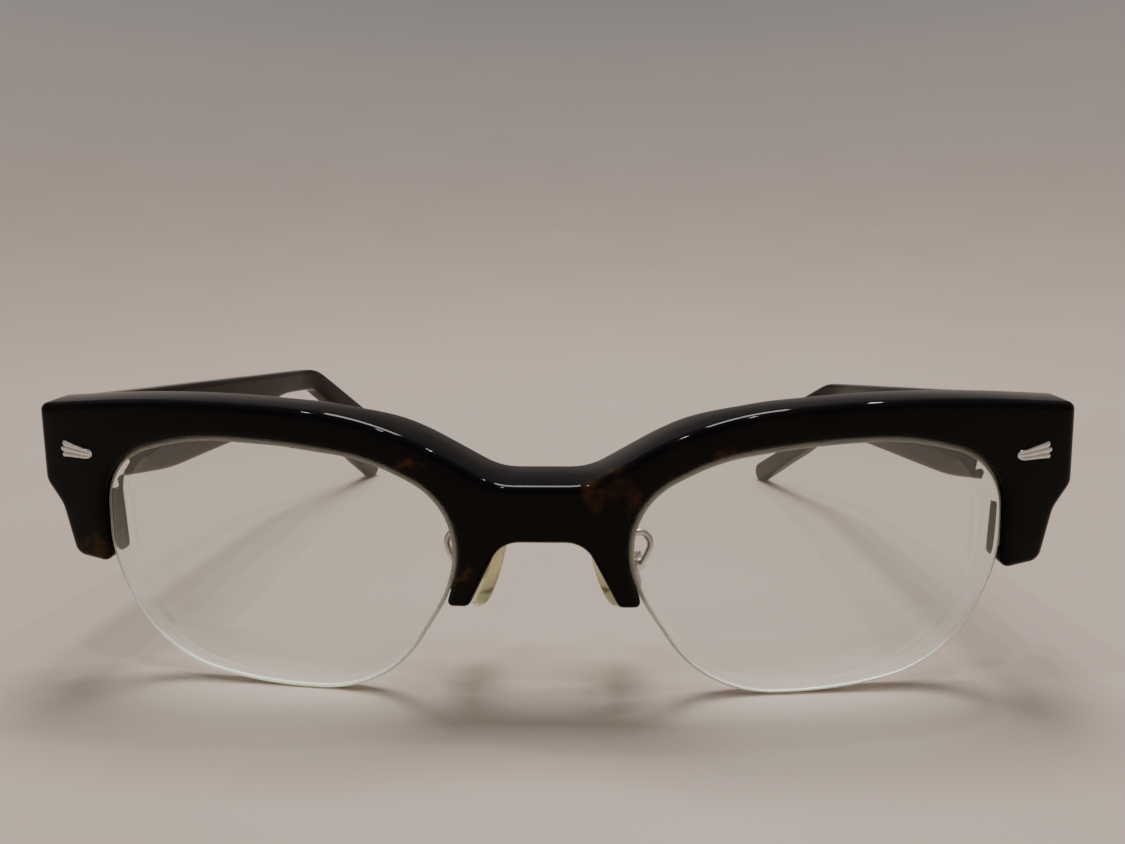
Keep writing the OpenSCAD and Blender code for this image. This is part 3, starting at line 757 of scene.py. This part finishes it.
def make_lens(side_name):
    """A lens whose profile runs from the front face round the bevelled, grooved edge to the back."""
    rear_r = LENS_REAR_R[side_name]
    rear_c = OPTIC_P + OPTIC_AXIS * (LENS_CENTRE_T + rear_r)

    def face(x, z):
        return ball_depth(BALL_C, LENS_FRONT_R, x, z)

    def back(x, z):
        return ball_depth(rear_c, rear_r, x, z)

    bevel = FRONT_BEVEL[side_name]
    profile = [(bevel, face, 0), (0, face, bevel)]
    for k in range(GROOVE_STEPS + 1):
        angle = math.pi * k / GROOVE_STEPS
        profile.append((GROOVE_DEEP * math.sin(angle), groove_depth, -GROOVE_HALF * math.cos(angle)))
    profile += [(0, back, -REAR_BEVEL), (REAR_BEVEL, back, 0)]
    steps = steps_of(LENS_OUTLINE)
    rings = [[(p.x, surface(p.x, p.y) + step, p.y) for p in trace(inset(LENS_OUTLINE, d), steps)]
             for d, surface, step in profile]
    shape = Shape()
    shape.add_rings(rings, look=1)
    for ring, surface in ((rings[0], face), (rings[-1], back)):
        shape.add_cap([Vector((p[0], p[2])) for p in ring], lambda x, z, s=surface: (x, s(x, z), z),
                      LENS_SPACING)
    fit(shape, "clear_lens_" + side_name, SIDES[side_name], IN_FRONT, "front_frame", "lens",
        "lens_" + side_name, looks=[LOOKS["lens"], LOOKS["lens_edge"]])


CORD_NASAL_Z = NASAL_Z + 3
CORD_TEMPORAL_Z = TEMPORAL_Z + 3.4
TAIL_LEAN = math.radians(12)
TAIL_L = RIM_T - 2.2


def make_cord(side_name):
    """The nylon cord under the lens; its ends turn back into the legs."""
    along = trace(inset(LENS_OUTLINE, CORD_IN))
    split = BRIDGE_W / 2 + LENS_W / 2
    low = [p for p in along if p.y < (CORD_NASAL_Z if p.x < split else CORD_TEMPORAL_Z)]
    start = min(range(len(low)), key=lambda i: (low[i].x > split, -low[i].y))
    low = low[start:] + low[:start]
    path = [Vector((p.x, groove_depth(p.x, p.y), p.y)) for p in low]
    for end, sign in ((0, -1), (-1, 1)):
        turn_in = path[end] + Vector((sign * 0.35, 0.25, 0.3))
        tail = turn_in + Vector((sign * math.sin(TAIL_LEAN), math.cos(TAIL_LEAN), 0)) * TAIL_L
        path = [tail, turn_in] + path if end == 0 else path + [turn_in, tail]
    shape = Shape()
    add_tube(shape, path, CORD_R)
    fit(shape, "nylon_cord_" + side_name, SIDES[side_name], IN_FRONT, "front_frame", "nylon",
        "lower_cord_" + side_name)


for side_name in SIDES:
    make_lens(side_name)
    make_cord(side_name)


# ---------- front plaques ----------
PLAQUE_X = HALF_W - 6.5
PLAQUE_L = 4.9
PLAQUE_WIDE = 1.25
PLAQUE_NARROW = 0.72
PLAQUE_TILT = math.radians(8)
LOBES = 3
PLAQUE_ROWS = 26
PLAQUE_COLUMNS = 36
IN_PLAQUE = (IN_FRONT @ Matrix.Translation((PLAQUE_X, depth_at(FRONT_R, PLAQUE_X), PLAQUE_Z))
             @ Matrix.Rotation(math.asin(PLAQUE_X / FRONT_R), 4, "Z")
             @ Matrix.Rotation(-PLAQUE_TILT, 4, "Y"))


def plaque_border(grid):
    """The points round the edge of a grid of rows."""
    return (grid[0] + [row[-1] for row in grid[1:]] + grid[-1][-2::-1]
            + [row[0] for row in grid[-2:0:-1]])


def make_plaque(side_name):
    """A fluted drop: three ridges that start in lobes at the wide outer end and run together."""
    shape = Shape()
    top, foot = [], []
    for r in range(PLAQUE_ROWS + 1):
        a = r / PLAQUE_ROWS
        line_top, line_foot = [], []
        for c in range(PLAQUE_COLUMNS + 1):
            b = 2 * c / PLAQUE_COLUMNS - 1
            in_lobe = (b * LOBES / 2 + LOBES / 2) % 1 * 2 - 1 if abs(b) < 1 else math.copysign(1, b)
            ridge = math.sqrt(max(0, 1 - in_lobe ** 2))
            middle = 1 if abs(b) < 1 / LOBES else 0.0
            outer = PLAQUE_L / 2 - 0.45 + 0.35 * ridge + 0.3 * middle * ridge
            inner = -PLAQUE_L / 2 + 0.55 * (1 - math.sqrt(max(0, 1 - b * b)))
            half = PLAQUE_NARROW + (PLAQUE_WIDE - PLAQUE_NARROW) * a
            x = inner + (outer - inner) * a
            rim = min(1, 5 * (1 - abs(b)), 7 * a, 7 * (1 - a))
            height = 0.28 * math.sqrt(max(0, 1 - (1 - rim) ** 2)) + 0.15 * ridge * min(1, rim * 1.2)
            line_top.append((x, -height - 0.05, b * half))
            line_foot.append((x, 0.3, b * half))
        top.append(line_top)
        foot.append(line_foot)
    shape.add_rings(top, closed=False)
    shape.add_rings([plaque_border(top), plaque_border(foot)])
    shape.add_fan(plaque_border(foot))
    fit(shape, "plaque_" + side_name, SIDES[side_name], IN_PLAQUE, "front_frame", "plaque_metal",
        "front_plaque_" + side_name)


for side_name in SIDES:
    make_plaque(side_name)


# ---------- hinges ----------
PITCH = KNUCKLE_H + KNUCKLE_GAP
STACK_H = 5 * PITCH - KNUCKLE_GAP
PLATE_H = STACK_H + 0.6
SCREW_HEAD_R = 1.2
SLOT_AT = 0.17


def flat(depth):
    return lambda u, v: depth


def add_block(shape, corners, low, high, edge_r, matrix):
    """A plate with that outline between two heights, with slightly rounded edges, put in place."""
    start = len(shape.points)
    shape.add_slab(corners, flat(low), flat(high), edge_r, edge_r, rounds=3, spacing=2.5)
    shape.moved(matrix, start)


def rectangle(x0, y0, x1, y1, radius):
    return [(x0, y0, radius), (x1, y0, radius), (x1, y1, radius), (x0, y1, radius)]


def add_knuckle(shape, number, web, matrix):
    low = -STACK_H / 2 + number * PITCH
    add_block(shape, web, low, low + KNUCKLE_H, 0.1, matrix)


def add_rivet(shape, radius, matrix):
    start = len(shape.points)
    add_turned(shape, [(radius, -0.2), (radius, 0.02), (radius * 0.93, 0.1), (radius * 0.7, 0.17),
                       (radius * 0.35, 0.21)])
    shape.moved(matrix, start)


# Each turns a plate from its own axes: drawn in X and Z with its thickness along Y, or drawn
# in Y and Z with its thickness along X
XZ_PLATE = Matrix(((1, 0, 0, 0), (0, 0, 1, 0), (0, 1, 0, 0), (0, 0, 0, 1)))
YZ_PLATE = Matrix(((0, 0, 1, 0), (1, 0, 0, 0), (0, 1, 0, 0), (0, 0, 0, 1)))
PIVOT_PLACE = Matrix.Translation(PIVOT_LOCAL)


def make_front_hinge(side_name):
    """The plate in the front with its three knuckles."""
    shape = Shape()
    plate_place = (Matrix.Translation((HINGE_X, depth_at(REAR_R, HINGE_X), HINGE_Z))
                   @ Matrix.Rotation(HINGE_TURN, 4, "Z"))
    inner_edge = BRIDGE_W / 2 + LENS_W - HINGE_X
    add_block(shape, rectangle(inner_edge, -PLATE_H / 2, 1.5, PLATE_H / 2, 0.6), PLATE_PROUD - PLATE_T,
              PLATE_PROUD, 0.15, plate_place @ XZ_PLATE)
    turned = PIVOT_PLACE @ Matrix.Rotation(HINGE_TURN - math.pi / 2, 4, "Z")
    web = PIVOT_BACK - PLATE_PROUD + 0.1
    outline = [(web, -KNUCKLE_R, 0.1), (web, KNUCKLE_R, 0.5), (-KNUCKLE_R, KNUCKLE_R, KNUCKLE_R),
               (-KNUCKLE_R, -KNUCKLE_R, KNUCKLE_R)]
    for number in (0, 2, 4):
        add_knuckle(shape, number, outline, turned)
    fit(shape, "front_hinge_" + side_name, SIDES[side_name], IN_FRONT, "front_frame", "hinge_metal",
        "hinge_front_half_" + side_name)


def make_hinge_screw(side_name):
    """The hinge's screw, with two thin ridges for the sides of its slot."""
    shape = Shape()
    top = STACK_H / 2
    add_turned(shape, [(SCREW_R, -top - 0.02), (SCREW_R, top), (SCREW_HEAD_R, top),
                       (SCREW_HEAD_R, top + 0.42), (1.12, top + 0.55), (0.9, top + 0.6)])
    for across in (-SLOT_AT, SLOT_AT):
        add_block(shape, rectangle(-0.85, across - 0.02, 0.85, across + 0.02, 0.005),
                  top + 0.55, top + 0.61, 0.004, Matrix.Identity(4))
    fit(shape, "hinge_pin_" + side_name, SIDES[side_name], IN_FRONT @ PIVOT_PLACE, "front_frame",
        "screw_metal", "hinge_screw_" + side_name)


def make_temple_hinge(side_name):
    """The plate on the temple's inner side with its two rivets and two knuckles."""
    shape = Shape()
    inner = outer_x(0) - TEMPLE_T
    tilt = Matrix.Rotation(-TEMPLE_SLOPE[side_name], 4, "X")
    plate = [(0.2, -PLATE_H / 2, 0.3), (8.6, -PLATE_H / 2, 1.4), (11.2, -1.6, 1.5), (11.2, 1.6, 1.5),
             (8.6, PLATE_H / 2, 1.4), (0.2, PLATE_H / 2, 0.3)]
    low = inner - PLATE_PROUD - 0.1
    add_block(shape, plate, low, low + PLATE_T, 0.15, tilt @ YZ_PLATE)
    for back in (3.6, 8.4):
        add_rivet(shape, 0.7, tilt @ Matrix.Translation((low, back, 0))
                  @ Matrix.Rotation(-math.pi / 2, 4, "Y"))
    web = inner - PIVOT.x
    outline = [(web, -0.2, 0.1), (web, KNUCKLE_R, 0.1), (-KNUCKLE_R, KNUCKLE_R, KNUCKLE_R),
               (-KNUCKLE_R, -KNUCKLE_R, KNUCKLE_R), (0.9, -KNUCKLE_R, 1), (1.45, -0.2, 0.2)]
    for number in (1, 3):
        add_knuckle(shape, number, outline, Matrix.Translation((PIVOT.x, 0, 0)) @ LEANED)
    fit(shape, "temple_hinge_" + side_name, SIDES[side_name], IN_TEMPLE, "temple_" + side_name,
        "hinge_metal", "hinge_temple_half_" + side_name)


# ---------- temples ----------
TEMPLE_RISE = TOP_OUTER_Z - HINGE_Z - 0.2
TIP_END = TEMPLE_L + TIP_L
TURN_L = TEMPLE_L - 6
TURN_R = 60
TEMPLE_STEP = 1.3
BUTT_FADE_L = 6


def on_top(slope, back):
    """The temple's top edge, seen from the side, that far back of the hinge."""
    return Vector((back, TEMPLE_RISE - back * math.tan(slope)))


def below(p, height, slope):
    """A point that far below p, square to an edge that falls by the slope."""
    return p - height * Vector((math.sin(slope), math.cos(slope)))


def outer_x(back, tip_in=0):
    """The temple's outer side, seen from above: nearly straight, then turning in to the tip."""
    extra = TEMPLE_INWARD - tip_in / (TIP_END - TURN_L)
    reach = TURN_R * math.tan(-math.atan(extra) / 2)
    past = back - TURN_L
    if past <= -reach:
        turned = 0
    else:
        turned = extra * (past if past >= reach else (past + reach) ** 2 / (4 * reach))
    return HALF_W - TEMPLE_STEP - TEMPLE_INWARD * back + turned


def butt_line(x, z):
    """How far back of the hinge the temple's end face lies, at a place x, z."""
    depth = depth_at(REAR_R - BUTT_GAP, x)
    base = IN_FRONT.translation
    return (depth - (PIVOT.z + z - base.z) * math.sin(LEAN)) / math.cos(LEAN) - (PIVOT.y - base.y)


def make_temple(side_name):
    """A temple with its tapered side view; its front end follows the front's curved rear face."""
    mid_x = outer_x(0) - TEMPLE_T / 2
    foot_z = TEMPLE_RISE - TEMPLE_H
    slope = TEMPLE_SLOPE[side_name]
    bend = on_top(slope, TEMPLE_L)
    tip_slope = (math.asin((PIVOT.z + bend.y - TIP_H / 2) / math.hypot(TIP_L, TIP_H / 2))
                 - math.atan2(TIP_H / 2, TIP_L))
    tip = bend + (TIP_L + TIP_H / 2) * Vector((math.cos(tip_slope), -math.sin(tip_slope)))
    neck = below(bend, NECK_H / math.cos((tip_slope - slope) / 2), (tip_slope + slope) / 2)
    corners = [(*p, r) for p, r in (
        ((butt_line(mid_x, TEMPLE_RISE), TEMPLE_RISE), 0.15), ((butt_line(mid_x, foot_z), foot_z), 0.15),
        (below(on_top(slope, 0.18 * TEMPLE_L), TEMPLE_H, 0), 60),
        (below(on_top(slope, 0.8 * TEMPLE_L), NECK_H, 0), 40), (neck, 9),
        (below(tip, TIP_H, tip_slope), TIP_H / 2), (tip, TIP_H / 2), (bend, 16))]
    shares = [0.2] + [1] * (len(corners) - 1)
    shape = Shape()
    shape.add_slab(corners, lambda back, z: -outer_x(back, TIP_IN[side_name]),
                   lambda back, z: TEMPLE_T - outer_x(back, TIP_IN[side_name]),
                   TEMPLE_ROUND, TEMPLE_INNER_ROUND, shares=shares)

    def placed(p):
        back, z, x = p.x, p.y, -p.z
        fade = max(0, min(1, 1 - (back - butt_line(mid_x, z)) / BUTT_FADE_L))
        return (x, back + (butt_line(x, z) - butt_line(mid_x, z)) * fade, z)

    shape.moved(placed)
    fit(shape, "side_arm_" + side_name, SIDES[side_name], IN_TEMPLE, "temple_" + side_name,
        "temple_acetate", "temple_" + side_name)


for side_name in SIDES:
    make_front_hinge(side_name)
    make_hinge_screw(side_name)
    make_temple_hinge(side_name)
    make_temple(side_name)


# ---------- nose pads ----------
SCREW_OUT = PAD_T / 2 + 1.3
BOX_BACK = SCREW_OUT + 1.2
BOX_OUT = BOX_ROOM + BOX_WALL
BOX_HALF_Z = 1.3
EGG_POINTS = 48
PAD_EDGE_R = 1.15
PAD_EDGE_STEPS = 14
PAD_EDGE_HALF = PAD_T / 2 * 0.8
PAD_SPACING = 0.8
PAD_FRONT_DOME = 0.55
PAD_REAR_DOME = 0.12


def egg(length, width):
    """Points round a pad's outline, with its narrow end up."""
    turns = [2 * math.pi * k / EGG_POINTS for k in range(EGG_POINTS)]
    return [(width / 2 * math.cos(a) * (1 - 0.16 * math.sin(a)), length / 2 * math.sin(a)) for a in turns]


def pad_face(depth, dome):
    """A pad's face: domed in the middle and at the plain depth along its edge."""
    y_half, z_half = PAD_W / 2 - PAD_EDGE_R, PAD_L / 2 - PAD_EDGE_R
    return lambda y, z: (depth + dome * max(0, 1 - (y / y_half) ** 2 * 0.9 - (z / z_half) ** 2), y, z)


def make_pad(side_name):
    """The soft pad: an egg-shaped cushion with a round edge and a domed face to the nose."""
    shape = Shape()
    rings = []
    for k in range(PAD_EDGE_STEPS + 1):
        angle = math.pi * k / PAD_EDGE_STEPS
        shrink = PAD_EDGE_R * (1 - math.sin(angle))
        lift = -math.cos(angle) * PAD_EDGE_HALF
        rings.append([(lift, y, z) for y, z in egg(PAD_L - 2 * shrink, PAD_W - 2 * shrink)])
    shape.add_rings(rings)
    for ring, dome in ((rings[0], -PAD_FRONT_DOME), (rings[-1], PAD_REAR_DOME)):
        shape.add_cap([Vector(p[1:]) for p in ring], pad_face(ring[0][0], dome), PAD_SPACING)
    fit(shape, "pad_" + side_name, SIDES[side_name], IN_PAD, "pad_" + side_name, "pad_plastic",
        "nose_pad_" + side_name)


def make_pad_fittings(side_name):
    """The metal insert in the pad, the box round its stud, the screw, and the wire arm."""
    side = SIDES[side_name]
    shape = Shape()
    add_block(shape, rectangle(-1.8, -2.6, 1.8, 2.6, 0.9), 0, 0.5, 0.12, YZ_PLATE)
    stud = BOX_ROOM - 0.1
    add_block(shape, [(0.3, -1, 0.1), (SCREW_OUT + 1, -1, 0.98), (SCREW_OUT + 1, 1, 0.98), (0.3, 1, 0.1)],
              -stud, stud, 0.12, XZ_PLATE)
    fit(shape, "insert_" + side_name, side, IN_PAD, "pad_" + side_name, "pad_metal",
        "pad_insert_" + side_name)

    shape = Shape()
    near = PAD_T / 2 + 0.4
    far = BOX_BACK + BOX_WALL
    channel = [(near, -BOX_OUT, 0.12), (far, -BOX_OUT, 0.5), (far, BOX_OUT, 0.5), (near, BOX_OUT, 0.12),
               (near, BOX_ROOM, 0.05), (BOX_BACK, BOX_ROOM, 0.3), (BOX_BACK, -BOX_ROOM, 0.3),
               (near, -BOX_ROOM, 0.05)]
    add_block(shape, channel, -BOX_HALF_Z, BOX_HALF_Z, 0.1, Matrix.Identity(4))
    fit(shape, "box_" + side_name, side, IN_PAD, "front_frame", "pad_metal", "pad_box_" + side_name)

    shape = Shape()
    add_turned(shape, [(PAD_SCREW_R, -BOX_OUT - 0.05), (PAD_SCREW_R, BOX_OUT), (0.9, BOX_OUT),
                       (0.9, BOX_OUT + 0.25), (0.78, BOX_OUT + 0.37), (0.5, BOX_OUT + 0.4)])
    fit(shape, "pad_pin_" + side_name, side, IN_PAD @ Matrix.Translation((SCREW_OUT, 0, 0))
        @ Matrix.Rotation(-math.pi / 2, 4, "X"), "front_frame", "screw_metal", "pad_screw_" + side_name)

    shape = Shape()
    end = IN_PAD_LOCAL @ Vector((far, 0, 0))
    root_x, root_z = BRIDGE_W / 2 - 1.6, NASAL_Z + 6.6
    path = smooth_path([(root_x, BRIDGE_T - 2.4, root_z),
                        (root_x, BRIDGE_T + 1.6, root_z),
                        (BRIDGE_W / 2 + 1.4, BRIDGE_T + 3.2, NASAL_Z + 6.8),
                        (BRIDGE_W / 2 + 2.6, BRIDGE_T + 3, NASAL_Z + 5),
                        end + Vector((0.6, 0, 0.25)), end])
    add_tube(shape, path, ARM_R)
    fit(shape, "wire_arm_" + side_name, side, IN_FRONT, "front_frame", "pad_metal", "pad_arm_" + side_name)


for side_name in SIDES:
    make_pad(side_name)
    make_pad_fittings(side_name)


# ---------- CAD nodes that stay as they are ----------
def keep_node(name, slot):
    kept = frame["nodes"][name]
    kept.data.materials.clear()
    kept.data.materials.append(LOOKS[slot])


for side_name in SIDES:
    keep_node("upper_liner_" + side_name, "nylon")
    keep_node("core_wire_" + side_name, "core_metal")


# ---------- floor, lamps and surroundings ----------
FLOOR_FLAT = 0.5
COVE_R = 2.2
COVE_STEPS = 20
FLOOR_SIDES = 96
WALL_TONE_Z = 0.9


def make_floor():
    """A floor whose far edge curves up all round, so that no horizon line shows."""
    profile = [(FLOOR_FLAT / 2, 0.0), (FLOOR_FLAT, 0.0)]
    for k in range(1, COVE_STEPS + 1):
        angle = math.pi / 2 * k / COVE_STEPS
        profile.append((FLOOR_FLAT + COVE_R * math.sin(angle), COVE_R * (1 - math.cos(angle))))
    points, faces = [], [tuple(range(FLOOR_SIDES))]
    for radius, height in profile:
        points += circle(radius, height, FLOOR_SIDES)
    for r in range(len(profile) - 1):
        for i in range(FLOOR_SIDES):
            a, b = r * FLOOR_SIDES + i, r * FLOOR_SIDES + (i + 1) % FLOOR_SIDES
            faces.append((b, a, a + FLOOR_SIDES, b + FLOOR_SIDES))
    mesh = bpy.data.meshes.new("floor")
    mesh.from_pydata(points, [], faces)
    for face in mesh.polygons:
        face.use_smooth = True
    floor = bpy.data.objects.new("floor", mesh)
    bpy.context.scene.collection.objects.link(floor)
    made, tree, shader = new_material("pale_floor", Roughness=0.5)
    place = object_place(tree)
    low = mix(tree, noise(tree, place, 9, 4), (0.36, 0.288, 0.238, 1), (0.41, 0.332, 0.278, 1))
    height = node(tree, "ShaderNodeSeparateXYZ", {"Vector": place}).outputs["Z"]
    colour_from(tree, shader, spread(tree, height, 0.0, WALL_TONE_Z), low, (0.66, 0.63, 0.62))
    mesh.materials.append(made)
    floor.location.z = cad_box[0].z


def make_lamp(name, place, size, power, colour):
    """A soft lamp that faces the part, with its place and size in metres and power in watts."""
    lamp = bpy.data.lights.new(name, "AREA")
    lamp.shape, lamp.size, lamp.size_y = "RECTANGLE", *size
    lamp.energy, lamp.color = power, colour
    holder = bpy.data.objects.new(name, lamp)
    bpy.context.scene.collection.objects.link(holder)
    holder.location = place
    holder.rotation_euler = (Vector(place)).to_track_quat("Z", "Y").to_euler()


def make_surroundings():
    world = bpy.data.worlds.new("room")
    world.use_nodes = True
    sky = world.node_tree.nodes["Background"]
    sky.inputs["Color"].default_value = (0.86, 0.84, 0.82, 1)
    sky.inputs["Strength"].default_value = 0.35
    bpy.context.scene.world = world


make_floor()
make_lamp("ceiling_lamp", (0.0, 0.4, 1.4), (0.6, 0.6), 25, (1.0, 0.98, 0.96))
make_lamp("left_lamp", (-0.45, -0.25, 1.3), (0.07, 0.04), 3, (1.0, 0.98, 0.96))
make_lamp("right_lamp", (0.55, 0.3, 1.3), (0.07, 0.04), 3, (0.95, 0.98, 1.0))
make_lamp("near_lamp", (0.1, -0.45, 1.3), (0.06, 0.04), 2.5, (0.97, 0.98, 1.0))
make_surroundings()
